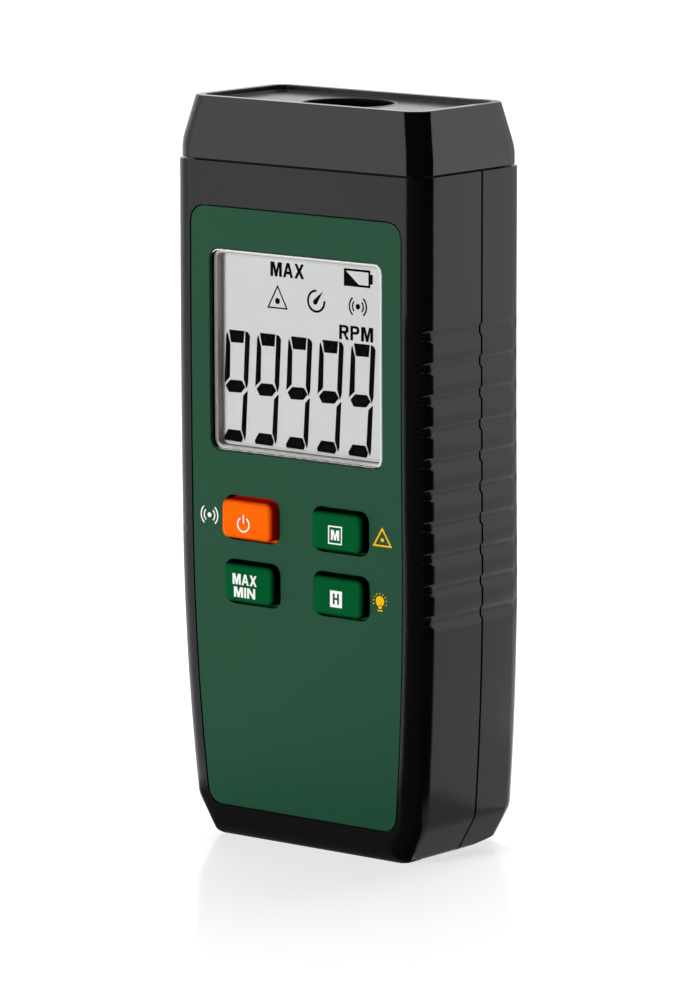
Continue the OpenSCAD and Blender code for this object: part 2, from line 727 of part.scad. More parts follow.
// Door cut from the bowed back, with thumb ridges at its top and two tongues under the case's skin
module battery_door() color("#262626") {
    bowed_plate(door_half_w, door_low, door_top, door_corner, back_y - door_t, back_y);
    for (i = [0:3]) {
        z = door_top - ridge_drop - ridge_pitch*i;
        box([-ridge_w/2, back_y + bow(z) - door_t/2, z - ridge_h/2],
            [ridge_w/2, back_y + bow(z) + ridge_rise, z + ridge_h/2]);
    }
    tongue_y = back_y + bow(door_low) - door_skin - tongue_drop - tongue_t;
    for (x = [-tongue_x, tongue_x])
        box([x - tongue_w/2, tongue_y, door_low - tongue_l],
            [x + tongue_w/2, tongue_y + tongue_t, door_low + tongue_root]);
}

module case_screws() color("#9a9a9e") for (x = [-screw_x, screw_x], z = screw_zs) {
    head_y = back_y - head_depth;
    tip_y = front_y + screw_tip + bow(z);
    bar_y([x, tip_y, z], screw_r, head_y - tip_y + head_t/4);
    difference() {
        bar_y([x, head_y, z], screw_head_r, head_t);
        for (size = [[slot_l, slot_w], [slot_w, slot_l]])
            slab_y(head_y + head_t - slot_t, back_y) translate([x, z]) square(size, center = true);
    }
}

module tripod_bush() color("#b5933f") difference() {
    bar_y([0, back_y + bow(bush_z) - bush_l, bush_z], bush_r, bush_l - bush_sunk);
    bar_y([0, back_y + bow(bush_z) - bush_l + bush_floor, bush_z], bush_bore_r, bush_l);
}

front_case();
rear_case();
top_cap();
front_panel();
display_window();
lcd_glass();
backlight_panel();
lcd_frame();
upper_zebra_strip();
lower_zebra_strip();
main_board();
board_screws();
power_switch();
memory_switch();
max_min_switch();
hold_switch();
power_plunger();
memory_plunger();
max_min_plunger();
hold_plunger();
power_key();
memory_key();
max_min_key();
hold_key();
controller_chip();
radio_module();
sensor_header();
sensor_board();
sensor_holder();
collector_lens();
photodiode();
laser_barrel();
laser_lens();
left_cell();
middle_cell();
right_cell();
spring_contacts();
plate_contacts();
battery_door();
case_screws();
tripod_bush();
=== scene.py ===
# %% [markdown]
# # A handheld laser tachometer
# A workshop tachometer points a red dot at a turning shaft and counts the light that comes back.
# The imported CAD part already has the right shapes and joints, so this lesson only dresses it:
# camera, studio, finishes, softened edges, the display's figures and the printed legends.

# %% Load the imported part
import math
import bmesh
import bpy
from mathutils import Matrix, Vector


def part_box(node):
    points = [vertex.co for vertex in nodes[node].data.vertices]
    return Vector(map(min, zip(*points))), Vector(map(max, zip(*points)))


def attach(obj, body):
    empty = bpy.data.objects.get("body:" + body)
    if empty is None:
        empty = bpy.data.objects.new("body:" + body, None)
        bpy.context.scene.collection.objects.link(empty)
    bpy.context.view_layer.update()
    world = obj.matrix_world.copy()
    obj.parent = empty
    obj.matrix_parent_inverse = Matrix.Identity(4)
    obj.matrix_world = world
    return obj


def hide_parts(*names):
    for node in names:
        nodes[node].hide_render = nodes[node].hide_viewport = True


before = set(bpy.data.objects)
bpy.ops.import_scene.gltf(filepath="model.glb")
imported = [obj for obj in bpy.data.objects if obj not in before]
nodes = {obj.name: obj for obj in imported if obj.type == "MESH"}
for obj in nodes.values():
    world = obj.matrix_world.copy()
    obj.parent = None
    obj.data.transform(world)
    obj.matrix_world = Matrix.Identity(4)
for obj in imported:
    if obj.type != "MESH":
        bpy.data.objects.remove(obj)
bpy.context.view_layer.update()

MM = 0.001
scene = bpy.context.scene
scene.view_settings.view_transform = "Standard"

# %% [markdown]
# ## The camera
# The upright edges of the case hardly converge, so the picture was taken with a long lens from far
# away. Yaw, pitch and distance were fitted to the case's corners. The lens covers the long side.

# %% Camera
CAMERA_YAW = math.radians(38.61)
CAMERA_PITCH = math.radians(9.41)
CAMERA_TARGET = Vector((-0.14, 0.0, 61.9)) * MM
CAMERA_DISTANCE = 1116 * MM
LENS_MM = 225
SENSOR_MM = 36

backwards = Vector((
    math.sin(CAMERA_YAW) * math.cos(CAMERA_PITCH),
    -math.cos(CAMERA_YAW) * math.cos(CAMERA_PITCH),
    math.sin(CAMERA_PITCH)))
lens = bpy.data.cameras.new("studio_camera")
lens.lens = LENS_MM
lens.sensor_width = SENSOR_MM
camera = bpy.data.objects.new("studio_camera", lens)
camera.location = CAMERA_TARGET + CAMERA_DISTANCE * backwards
camera.rotation_euler = backwards.to_track_quat("Z", "Y").to_euler()
scene.collection.objects.link(camera)
scene.camera = camera
print("camera at", [round(v, 3) for v in camera.location])

# %% [markdown]
# ## Helpers for finishes
# Colours are written as they look on a screen, in sRGB hex, and Blender works with linear light, so
# one function converts them. Another adds a node with its settings and links, so that a finish
# reads as a short list of nodes. A third starts a finish without any nodes.

# %% Colour and node helpers
def linear(hex_colour):
    channels = [int(hex_colour[i:i + 2], 16) / 255 for i in (1, 3, 5)]
    return (*[c / 12.92 if c <= 0.04045 else ((c + 0.055) / 1.055) ** 2.4 for c in channels], 1.0)


def add(tree, kind, inputs=None, **settings):
    node = tree.nodes.new(kind)
    for name, value in settings.items():
        setattr(node, name, value)
    for socket, value in (inputs or {}).items():
        if isinstance(value, bpy.types.NodeSocket):
            tree.links.new(value, node.inputs[socket])
        else:
            node.inputs[socket].default_value = value
    return node


def start_finish(name):
    finish = bpy.data.materials.new(name)
    finish.use_nodes = True
    finish.node_tree.nodes.clear()
    return finish, finish.node_tree


print("panel green in linear light:", [round(v, 3) for v in linear("#2c503e")[:3]])

# %% [markdown]
# ## The studio
# The product stands in a white tent: floor and surroundings are white, also in reflections. Sheen on
# black plastic is just this white, mirrored at about four per cent. The tent's roof is greyer, which
# lets edges and grooves that face upwards stand out. The world gives little light by itself, so a
# soft lamp at the front left models the keys.

# %% White surroundings
WHITE = (1, 1, 1, 1)
WORLD_LIGHT = 0.04
ROOF_TONE = 0.4
ROOF_EDGE = 0.3
ROOF_FULL = 0.9

world = bpy.data.worlds.new("white_tent")
world.use_nodes = True
scene.world = world
sky = world.node_tree
sky.nodes.clear()
path = add(sky, "ShaderNodeLightPath")
seen = add(sky, "ShaderNodeMath", {0: path.outputs["Is Camera Ray"], 1: path.outputs["Is Glossy Ray"]},
    operation="MAXIMUM")
seen = add(sky, "ShaderNodeMath", {0: seen.outputs[0], 1: path.outputs["Is Transmission Ray"]},
    operation="MAXIMUM")
strength = add(sky, "ShaderNodeMapRange",
    {"Value": seen.outputs[0], "To Min": WORLD_LIGHT, "To Max": 1.0})
direction = add(sky, "ShaderNodeTexCoord").outputs["Generated"]
height = add(sky, "ShaderNodeSeparateXYZ", {0: direction}).outputs["Z"]
roof = add(sky, "ShaderNodeMapRange", {"Value": height, "From Min": ROOF_EDGE,
    "From Max": ROOF_FULL, "To Min": 1.0, "To Max": ROOF_TONE})
tone = add(sky, "ShaderNodeMix", {0: path.outputs["Is Glossy Ray"], 2: 1.0, 3: roof.outputs[0]},
    data_type="FLOAT")
shown = add(sky, "ShaderNodeMath", {0: strength.outputs[0], 1: tone.outputs[0]}, operation="MULTIPLY")
tent = add(sky, "ShaderNodeBackground", {"Color": WHITE, "Strength": shown.outputs[0]})
add(sky, "ShaderNodeOutputWorld", {"Surface": tent.outputs[0]})
print("world:", world.name, "with", len(sky.nodes), "nodes")

# %% [markdown]
# The floor is a satin white board. For the camera, a part of its white is even and the rest is shaded
# by the lamps, so that the contact shadow and a faint mirror image of the foot stay visible. In
# reflections it is as even as the tent, so the sheen on the plastic has no blotches.

# %% Floor
FLOOR_HALF = 6.0
FLOOR_GLOW = 0.68

board, tree = start_finish("satin_white_board")
path = add(tree, "ShaderNodeLightPath")
glow = add(tree, "ShaderNodeMath", {0: path.outputs["Is Camera Ray"], 1: FLOOR_GLOW},
    operation="MULTIPLY")
satin = add(tree, "ShaderNodeBsdfPrincipled",
    {"Base Color": linear("#f2f2f2"), "Roughness": 0.12, "Specular IOR Level": 0.05})
plain = add(tree, "ShaderNodeEmission", {"Color": WHITE, "Strength": glow.outputs[0]})
lit = add(tree, "ShaderNodeAddShader", {0: satin.outputs[0], 1: plain.outputs[0]})
mirrored = add(tree, "ShaderNodeMath",
    {0: path.outputs["Is Glossy Ray"], 1: path.outputs["Is Transmission Ray"]}, operation="MAXIMUM")
even = add(tree, "ShaderNodeEmission", {"Color": WHITE, "Strength": 1.0})
both = add(tree, "ShaderNodeMixShader", {0: mirrored.outputs[0], 1: lit.outputs[0], 2: even.outputs[0]})
add(tree, "ShaderNodeOutputMaterial", {"Surface": both.outputs[0]})


def make_object(name, bm, finish):
    mesh = bpy.data.meshes.new(name)
    bm.to_mesh(mesh)
    bm.free()
    mesh.materials.append(finish)
    made = bpy.data.objects.new(name, mesh)
    scene.collection.objects.link(made)
    return made


bm = bmesh.new()
bmesh.ops.create_grid(bm, x_segments=1, y_segments=1, size=FLOOR_HALF)
floor = make_object("floor", bm, board)
print("floor:", 2 * FLOOR_HALF, "m square")

# %% [markdown]
# The rounded corner that faces the camera is almost black in the picture, and so are the foot and the
# rear edge: dark cards stand and lie around the case and are mirrored there. Photographers call this
# negative fill. A bent card is one straight edge spun about an upright axis. The cards show only in
# reflections, and only from the side of the case: seen from behind they are clear, so the floor
# doesn't mirror them.

# %% Card helpers
CARD_STEPS = 24
CASE_MIDDLE = Vector((0, 0, 65)) * MM


def around(centre, azimuth, radius, height):
    a = math.radians(azimuth)
    return centre + Vector((math.sin(a) * radius, -math.cos(a) * radius, height))


def bent_card(centre, azimuths, first, last):
    bm = bmesh.new()
    ends = [bm.verts.new(around(centre, azimuths[0], *end)) for end in (first, last)]
    edge = bm.edges.new(ends)
    bmesh.ops.spin(bm, geom=[*ends, edge], cent=centre, axis=(0, 0, 1),
        angle=math.radians(azimuths[1] - azimuths[0]), steps=CARD_STEPS)
    return bm


def tone_card(name, bm, brightness):
    paint, tree = start_finish(name + "_paint")
    dull = add(tree, "ShaderNodeEmission", {"Color": WHITE, "Strength": brightness})
    clear = add(tree, "ShaderNodeBsdfTransparent")
    behind = add(tree, "ShaderNodeNewGeometry").outputs["Backfacing"]
    both = add(tree, "ShaderNodeMixShader", {0: behind, 1: dull.outputs[0], 2: clear.outputs[0]})
    add(tree, "ShaderNodeOutputMaterial", {"Surface": both.outputs[0]})
    bm.normal_update()
    away = [f for f in bm.faces if f.normal.dot(CASE_MIDDLE - f.calc_center_median()) < 0]
    bmesh.ops.reverse_faces(bm, faces=away)
    card = make_object(name, bm, paint)
    card.visible_camera = False
    card.visible_diffuse = False
    card.visible_shadow = False
    card.visible_transmission = False
    print(name, "faces:", len(card.data.polygons))


# %% [markdown]
# Each card is placed by what mirrors it. Those about the corner's own axis draw the black band there,
# the ones at the side and the left tone the flat faces, and one strip that is brighter than the floor
# is mirrored only by the undersides of the grip grooves.

# %% Bent cards
CORNER = Vector((22, -9, 0)) * MM
AXIS = Vector()
LYING = 0.0003
ON_TOP = 0.0004

# Name, axis, azimuths in degrees, brightness, and radius and height of the edge's two ends in metres
bent_cards = [
    ("corner_card", CORNER, (-20, 128), 0.02, (0.17, 0.0), (0.17, 0.28)),
    ("corner_floor_card", CORNER, (-20, 128), 0.02, (0.0, LYING), (0.17, LYING)),
    ("side_floor_card", CORNER, (128, 175), 0.72, (0.0, LYING), (0.3, LYING)),
    ("side_far_card", CORNER, (128, 147), 0.75, (0.3, LYING), (0.43, LYING)),
    ("side_edge_card", CORNER, (128, 147), 0.88, (0.43, LYING), (0.56, LYING)),
    ("groove_card", CORNER, (150, 172), 1.15, (0.09, ON_TOP), (0.3, ON_TOP)),
    ("left_card", AXIS, (-74, -47), 0.66, (0.25, 0.0), (0.25, 0.2)),
    ("left_floor_card", AXIS, (-74, -47), 0.66, (0.07, LYING), (0.25, LYING)),
    ("rear_card", AXIS, (158, 211), 0.5, (0.2, 0.0), (0.2, 0.16)),
]
for name, centre, azimuths, brightness, first, last in bent_cards:
    tone_card(name, bent_card(centre, azimuths, first, last), brightness)

# %% [markdown]
# The foot's slanting faces look down at the floor close by. The card before it is a disc cut off along
# the case's front, and a small square lies beside it.

# %% Foot cards
FOOT_CARD_RADIUS = 0.06
FOOT_CARD_BACK = -0.006
FOOT_CARD_Z = 0.0002
SIDE_CARD_HALF = 0.016
SIDE_CARD_PLACE = (0.036, 0.008, 0.0005)

bm = bmesh.new()
bmesh.ops.create_circle(bm, cap_ends=True, segments=48, radius=FOOT_CARD_RADIUS,
    matrix=Matrix.Translation((0, 0, FOOT_CARD_Z)))
bmesh.ops.bisect_plane(bm, geom=bm.verts[:] + bm.edges[:] + bm.faces[:], clear_outer=True,
    plane_co=(0, FOOT_CARD_BACK, 0), plane_no=(0, 1, 0))
tone_card("foot_card", bm, 0.08)
bm = bmesh.new()
bmesh.ops.create_grid(bm, x_segments=1, y_segments=1, size=SIDE_CARD_HALF,
    matrix=Matrix.Translation(SIDE_CARD_PLACE))
tone_card("side_foot_card", bm, 0.35)

# %% [markdown]
# Lamps: a broad one at the front left shapes the keys, and one high behind the case lights the floor
# and the top. Each is aimed by turning its own -Z axis at the middle of the case. Gloss shows the
# white tent and not the lamps, so they are left out of reflections.

# %% Lamps
def soft_lamp(name, azimuth, elevation, distance, size, watts):
    lamp = bpy.data.lights.new(name, "AREA")
    lamp.shape = "RECTANGLE"
    lamp.size, lamp.size_y = size
    lamp.energy = watts
    a, e = math.radians(azimuth), math.radians(elevation)
    away = Vector((math.sin(a) * math.cos(e), -math.cos(a) * math.cos(e), math.sin(e)))
    holder = bpy.data.objects.new(name, lamp)
    holder.location = CASE_MIDDLE + distance * away
    holder.rotation_euler = away.to_track_quat("Z", "Y").to_euler()
    holder.visible_glossy = False
    scene.collection.objects.link(holder)
    print("lamp", name, "at", [round(v, 2) for v in holder.location])


soft_lamp("front_left_softbox", -22, 3, 1.4, (0.5, 0.2), 19.3)
soft_lamp("high_rear_softbox", 205, 60, 1.6, (1.2, 1.2), 14)

# %% [markdown]
# ## Moulded plastics
# Most of the tool is injection moulded. The steel mould was spark eroded, which leaves a fine even
# grain on the case, while the cap's mould was polished. A small noise gives the grain, a large one
# the slight flow marks in the colour, and the grain also breaks up the gloss. The grain of a real
# case is near 0.1 mm, too fine for the picture, so it is drawn about three times as coarse. Faces
# that turn away from the front may take a darker colour: painted shade.

# %% Moulded plastic
FLOW_MM = 18
PLASTIC_IOR = 1.52
GLOSS_SPREAD = 0.05
LIGHT_DEPTH_MM = 2.0
FACES_FRONT = 0.95
FACES_ASIDE = 0.3


def moulded_plastic(name, shade, tint, roughness, grain_mm, relief_mm,
        gloss=0.5, translucent=0.0, side=None):
    finish, tree = start_finish(name)
    place = add(tree, "ShaderNodeTexCoord").outputs["Object"]
    grain = add(tree, "ShaderNodeTexNoise",
        {"Vector": place, "Scale": 1 / (grain_mm * MM), "Detail": 2.0, "Roughness": 0.6})
    flow = add(tree, "ShaderNodeTexNoise", {"Vector": place, "Scale": 1 / (FLOW_MM * MM), "Detail": 2.0})
    colour = add(tree, "ShaderNodeMix", {0: flow.outputs["Fac"], 6: linear(shade), 7: linear(tint)},
        data_type="RGBA")
    # Faces that turn away from the front take the side colour: painted shade
    if side:
        normal = add(tree, "ShaderNodeNewGeometry").outputs["Normal"]
        front = add(tree, "ShaderNodeVectorMath", {0: normal, 1: (0, -1, 0)}, operation="DOT_PRODUCT")
        turned = add(tree, "ShaderNodeMapRange",
            {"Value": front.outputs["Value"], "From Min": FACES_FRONT, "From Max": FACES_ASIDE})
        colour = add(tree, "ShaderNodeMix", {0: turned.outputs[0], 6: colour.outputs[2], 7: linear(side)},
            data_type="RGBA")
    polish = add(tree, "ShaderNodeMapRange", {"Value": grain.outputs["Fac"], "From Min": 0.3,
        "From Max": 0.7, "To Min": roughness - GLOSS_SPREAD, "To Max": roughness + GLOSS_SPREAD})
    relief = add(tree, "ShaderNodeBump",
        {"Height": grain.outputs["Fac"], "Distance": relief_mm * MM, "Strength": 1.0})
    skin = add(tree, "ShaderNodeBsdfPrincipled", {
        "Base Color": colour.outputs[2], "Roughness": polish.outputs[0], "IOR": PLASTIC_IOR,
        "Specular IOR Level": gloss, "Normal": relief.outputs[0], "Subsurface Weight": translucent,
        "Subsurface Radius": (1.0, 0.15, 0.03), "Subsurface Scale": LIGHT_DEPTH_MM * MM})
    add(tree, "ShaderNodeOutputMaterial", {"Surface": skin.outputs[0]})
    return finish


# %% [markdown]
# The plastics differ in shade, gloss and grain. Black plastic is lit almost only by what it mirrors,
# so its gloss counts for more than its colour. The keys are dull, and light seeps into them.

# %% Plastic finishes
# Black ABS with a fine even grain: a soft grey sheen on the flats
case_abs = moulded_plastic("spark_grained_black_abs", "#080808", "#0b0b0b", 0.17, 0.32, 0.014, 0.47)
# Black ABS from a polished mould: darker, with sharper reflections
cap_abs = moulded_plastic("polished_black_abs", "#040404", "#060606", 0.1, 0.5, 0.0006, 0.68)
# The same ABS, eroded coarsely in the sunk top: matt and greyer
top_abs = moulded_plastic("coarse_grained_black_abs", "#323232", "#3b3b3b", 0.16, 0.45, 0.012, 0.7)
# Sprayed satin lacquer on the front panel: an even dull green
panel_lacquer = moulded_plastic("satin_green_lacquer", "#184531", "#1c4630", 0.42, 0.35, 0.004, 0.2)
# Silicone keys: saturated colour, a faint silky highlight, and light that seeps in. A key's sides
# take a darker colour than its face: painted shade, deep red on the orange key, near black on the green
orange_silicone = moulded_plastic("orange_silicone_rubber", "#f86200", "#fa6a06",
    0.45, 0.3, 0.004, 0.04, 0.7, "#d81500")
green_silicone = moulded_plastic("green_silicone_rubber", "#004d25", "#005529",
    0.45, 0.3, 0.004, 0.03, 0.1, "#000e05")
# Glass-filled black nylon of the switches, chip and sensor holder: dull and slightly mottled
dark_nylon = moulded_plastic("glass_filled_black_nylon", "#141414", "#1d1d1d", 0.55, 0.6, 0.01)
# Acetal plungers and the clear-white light guide: milky and waxy
acetal = moulded_plastic("natural_acetal", "#c9c7bc", "#d6d4ca", 0.4, 0.8, 0.003)
light_guide = moulded_plastic("milky_acrylic", "#dfe3df", "#eaeeea", 0.3, 1.2, 0.002)
print("plastics of the shells:", [m.name for m in (case_abs, cap_abs, top_abs, panel_lacquer)])

# %% [markdown]
# ## Metals
# Screws, springs, the bush and the radio's shield are bought-in metal parts. Plating and turning leave
# fine uneven lines, so one noise varies the colour, the gloss and a slight relief together.

# %% Metals
METAL_SPREAD = 0.1


def turned_metal(name, colour, worn, roughness, line_mm, relief_mm):
    finish, tree = start_finish(name)
    place = add(tree, "ShaderNodeTexCoord").outputs["Object"]
    lines = add(tree, "ShaderNodeTexNoise",
        {"Vector": place, "Scale": 1 / (line_mm * MM), "Detail": 4.0, "Roughness": 0.7})
    shade = add(tree, "ShaderNodeMix", {0: lines.outputs["Fac"], 6: linear(colour), 7: linear(worn)},
        data_type="RGBA")
    polish = add(tree, "ShaderNodeMapRange", {"Value": lines.outputs["Fac"],
        "To Min": roughness - METAL_SPREAD, "To Max": roughness + METAL_SPREAD})
    relief = add(tree, "ShaderNodeBump",
        {"Height": lines.outputs["Fac"], "Distance": relief_mm * MM, "Strength": 0.6})
    skin = add(tree, "ShaderNodeBsdfPrincipled", {
        "Base Color": shade.outputs[2], "Metallic": 1.0, "Roughness": polish.outputs[0],
        "Normal": relief.outputs[0]})
    add(tree, "ShaderNodeOutputMaterial", {"Surface": skin.outputs[0]})
    return finish


# Zinc is bluish and dull, nickel warmer and brighter, brass yellow, tin pale with broad stains
zinc_steel = turned_metal("zinc_plated_steel", "#a9abb0", "#8d8f95", 0.35, 0.6, 0.004)
nickel_spring = turned_metal("nickel_plated_spring_steel", "#c4c1ba", "#aaa79f", 0.28, 0.5, 0.003)
brass = turned_metal("turned_brass", "#c9a24d", "#b08a3a", 0.3, 0.35, 0.003)
tinned_can = turned_metal("tin_plated_shield", "#b3b7ba", "#9ea2a6", 0.4, 2.0, 0.004)
print("metals:", [m.name for m in (zinc_steel, nickel_spring, brass, tinned_can)])

# %% [markdown]
# ## Board and display
# The board is glass fibre under a green coat. The display's glass is joined to it by strips of layered
# rubber that conduct in thin stripes, and a grey film behind the figures throws the light back.

# %% Board, contact strips and display film
WEAVE_MM = 0.8
LAYER_MM = 0.4
SPARKLE_MM = 0.4
WAVE_AT_SCALE_ONE = 0.314

# Green solder mask over glass fibre: a faint woven check under a glossy coat
solder_mask, tree = start_finish("solder_masked_glass_fibre")
place = add(tree, "ShaderNodeTexCoord").outputs["Object"]
weave = add(tree, "ShaderNodeTexChecker", {"Vector": place, "Scale": 1 / (WEAVE_MM * MM),
    "Color1": linear("#14592f"), "Color2": linear("#185f34")})
skin = add(tree, "ShaderNodeBsdfPrincipled",
    {"Base Color": weave.outputs["Color"], "Roughness": 0.3, "IOR": 1.55})
add(tree, "ShaderNodeOutputMaterial", {"Surface": skin.outputs[0]})

# Contact strips of the display: thin dark and rose layers across the strip
zebra, tree = start_finish("layered_contact_rubber")
place = add(tree, "ShaderNodeTexCoord").outputs["Object"]
layers = add(tree, "ShaderNodeTexWave",
    {"Vector": place, "Scale": WAVE_AT_SCALE_ONE / (LAYER_MM * MM) / 2, "Distortion": 0.0},
    bands_direction="X")
stripe = add(tree, "ShaderNodeMix",
    {0: layers.outputs["Fac"], 6: linear("#2a2226"), 7: linear("#c89aa0")}, data_type="RGBA")
skin = add(tree, "ShaderNodeBsdfPrincipled", {"Base Color": stripe.outputs[2], "Roughness": 0.6})
add(tree, "ShaderNodeOutputMaterial", {"Surface": skin.outputs[0]})

# Reflective display: pale neutral grey with a faint sparkle
display_film, tree = start_finish("grey_polariser_film")
place = add(tree, "ShaderNodeTexCoord").outputs["Object"]
sparkle = add(tree, "ShaderNodeTexNoise",
    {"Vector": place, "Scale": 1 / (SPARKLE_MM * MM), "Detail": 2.0})
tone = add(tree, "ShaderNodeMapRange",
    {"Value": sparkle.outputs["Fac"], "From Min": 0.2, "From Max": 0.8})
shade = add(tree, "ShaderNodeMix",
    {0: tone.outputs[0], 6: linear("#cfced0"), 7: linear("#d6d5d7")}, data_type="RGBA")
skin = add(tree, "ShaderNodeBsdfPrincipled",
    {"Base Color": shade.outputs[2], "Roughness": 0.5, "Specular IOR Level": 0.2})
add(tree, "ShaderNodeOutputMaterial", {"Surface": skin.outputs[0]})
print("stripes per mm on the contact strips:", 1 / LAYER_MM)

# %% [markdown]
# ## Clear parts
# The window only has to be looked through, so light passes it unbent: a transparent shader with a
# little gloss is cleaner than real refraction. The lenses are seen by their bending of light, so they
# do refract.

# %% Window and lenses
# Clear acrylic window with an anti-glare coat: light goes straight through, and only a trace of gloss
# stays, which grows at a flat angle. The low IOR stands for the coat.
clear_acrylic, tree = start_finish("coated_clear_acrylic")
through = add(tree, "ShaderNodeBsdfTransparent", {"Color": linear("#fafbfa")})
gloss = add(tree, "ShaderNodeBsdfGlossy", {"Color": WHITE, "Roughness": 0.03})
glance = add(tree, "ShaderNodeFresnel", {"IOR": 1.05})
mixed = add(tree, "ShaderNodeMixShader",
    {0: glance.outputs[0], 1: through.outputs[0], 2: gloss.outputs[0]})
add(tree, "ShaderNodeOutputMaterial", {"Surface": mixed.outputs[0]})

# Lenses: optical glass with a faint blue coating
lens_glass, tree = start_finish("coated_optical_glass")
skin = add(tree, "ShaderNodeBsdfPrincipled", {"Base Color": linear("#cfe3f2"), "Roughness": 0.02,
    "IOR": 1.52, "Transmission Weight": 0.85, "Coat Weight": 0.4, "Coat Tint": linear("#8fb4e8")})
add(tree, "ShaderNodeOutputMaterial", {"Surface": skin.outputs[0]})
print("clear finishes:", clear_acrylic.name, lens_glass.name)

# %% [markdown]
# ## The cells
# Three cells in printed shrink sleeves lie in the bay. One finish serves them all: the height along the
# case divides the sleeve's two colours, and faces that look along the cell are bare metal.

# %% Cell finish
BAND_Z = 50 * MM
END_FACE = 0.7

# Wrapped cells: a slate-blue sleeve with a pale band near one end, and bare plated steel on the ends
cell_wrap, tree = start_finish("printed_shrink_sleeve")
place = add(tree, "ShaderNodeTexCoord").outputs["Object"]
height = add(tree, "ShaderNodeSeparateXYZ", {0: place}).outputs["Z"]
band_edge = add(tree, "ShaderNodeMath", {0: height, 1: BAND_Z}, operation="GREATER_THAN")
sleeve = add(tree, "ShaderNodeMix",
    {0: band_edge.outputs[0], 6: linear("#45586c"), 7: linear("#c9ced2")}, data_type="RGBA")
normal = add(tree, "ShaderNodeNewGeometry").outputs["Normal"]
upright = add(tree, "ShaderNodeSeparateXYZ", {0: normal}).outputs["Z"]
upright = add(tree, "ShaderNodeMath", {0: upright}, operation="ABSOLUTE")
bare = add(tree, "ShaderNodeMath", {0: upright.outputs[0], 1: END_FACE}, operation="GREATER_THAN")
colour = add(tree, "ShaderNodeMix",
    {0: bare.outputs[0], 6: sleeve.outputs[2], 7: linear("#c4c6c8")}, data_type="RGBA")
skin = add(tree, "ShaderNodeBsdfPrincipled",
    {"Base Color": colour.outputs[2], "Roughness": 0.3, "Metallic": bare.outputs[0]})
add(tree, "ShaderNodeOutputMaterial", {"Surface": skin.outputs[0]})
print("finishes so far:", len(bpy.data.materials))

# %% [markdown]
# ## Dressing the inside
# The inner nodes keep their CAD meshes. Each only needs its finish in its first material slot.

# %% Finishes of the inner nodes
inside = {
    "display_window": clear_acrylic, "lcd_glass": display_film, "backlight_panel": light_guide,
    "lcd_frame": dark_nylon, "upper_zebra_strip": zebra, "lower_zebra_strip": zebra,
    "main_board": solder_mask, "board_screws": zinc_steel, "controller_chip": dark_nylon,
    "radio_module": tinned_can, "sensor_header": dark_nylon, "sensor_board": solder_mask,
    "sensor_holder": dark_nylon, "collector_lens": lens_glass, "photodiode": dark_nylon,
    "laser_barrel": brass, "laser_lens": lens_glass, "left_cell": cell_wrap, "middle_cell": cell_wrap,
    "right_cell": cell_wrap, "spring_contacts": nickel_spring, "plate_contacts": nickel_spring,
    "case_screws": zinc_steel, "tripod_bush": brass,
}
for key in ("power", "memory", "max_min", "hold"):
    inside[key + "_switch"] = dark_nylon
    inside[key + "_plunger"] = acetal
for name, finish in inside.items():
    nodes[name].data.materials.clear()
    nodes[name].data.materials.append(finish)
print("dressed inner nodes:", len(inside))

# %% [markdown]
# ## Softened outer shells
# A CAD mesh is loose flat triangles, so a round edge shows its facets and a sharp edge catches no
# light. A copy is merged into one skin, flat neighbours are dissolved into large faces, and sharp
# edges get a small bevel. Smooth shading then rounds what is round, and weighted normals keep the
# large faces flat.

# %% Finished copies of the outer nodes
MERGE_MM = 0.002
FLAT_DEG = 0.05
SHARP_DEG = 40


def smooth_except_edges(mesh):
    mesh.shade_smooth()
    mesh.set_sharp_from_angle(angle=math.radians(SHARP_DEG))


def finished_copy(node, body, finish, edge_mm):
    bm = bmesh.new()
    bm.from_mesh(nodes[node].data)
    bmesh.ops.remove_doubles(bm, verts=bm.verts, dist=MERGE_MM * MM)
    bmesh.ops.dissolve_limit(bm, angle_limit=math.radians(FLAT_DEG), verts=bm.verts, edges=bm.edges)
    sharp = [e for e in bm.edges if e.is_manifold and e.calc_face_angle() > math.radians(SHARP_DEG)]
    if edge_mm:
        bmesh.ops.bevel(bm, geom=sharp, offset=edge_mm * MM, offset_type="OFFSET", affect="EDGES",
            segments=2, profile=0.5, material=-1, clamp_overlap=True)
    piece = make_object(node + "_finished", bm, finish)
    smooth_except_edges(piece.data)
    normals = piece.modifiers.new("flat_faces", "WEIGHTED_NORMAL")
    normals.keep_sharp = True
    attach(piece, body)
    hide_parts(node)
    print(node, "faces:", len(piece.data.polygons), "sharp edges:", len(sharp), "bevel in mm:", edge_mm)
    return piece


# %% [markdown]
# Moulded edges are a tenth of a millimetre round or a little more. The keys are already rounded in the
# CAD part, so theirs stay as they are.

# %% Outer nodes
# Node, body, finish and bevel in mm
outer = [
    ("front_case", "housing", case_abs, 0.12),
    ("rear_case", "housing", case_abs, 0.12),
    ("top_cap", "housing", cap_abs, 0.15),
    ("front_panel", "housing", panel_lacquer, 0.1),
    ("battery_door", "battery_door_body", case_abs, 0.12),
    ("power_key", "power_key_body", orange_silicone, 0.0),
    ("memory_key", "memory_key_body", green_silicone, 0.0),
    ("max_min_key", "max_min_key_body", green_silicone, 0.0),
    ("hold_key", "hold_key_body", green_silicone, 0.0),
]
dressed = {row[0]: finished_copy(*row) for row in outer}

# %% [markdown]
# The cap's top is sunk inside a narrow rim, and its floor is matt while the outside is polished. The
# faces of the floor and of the wall up to the rim take a second finish on the same piece.

# %% Matt floor of the cap
TOP_FLOOR = 132.9 * MM
RIM_TOP = 133.95 * MM

cap = dressed["top_cap"].data
cap.materials.append(top_abs)
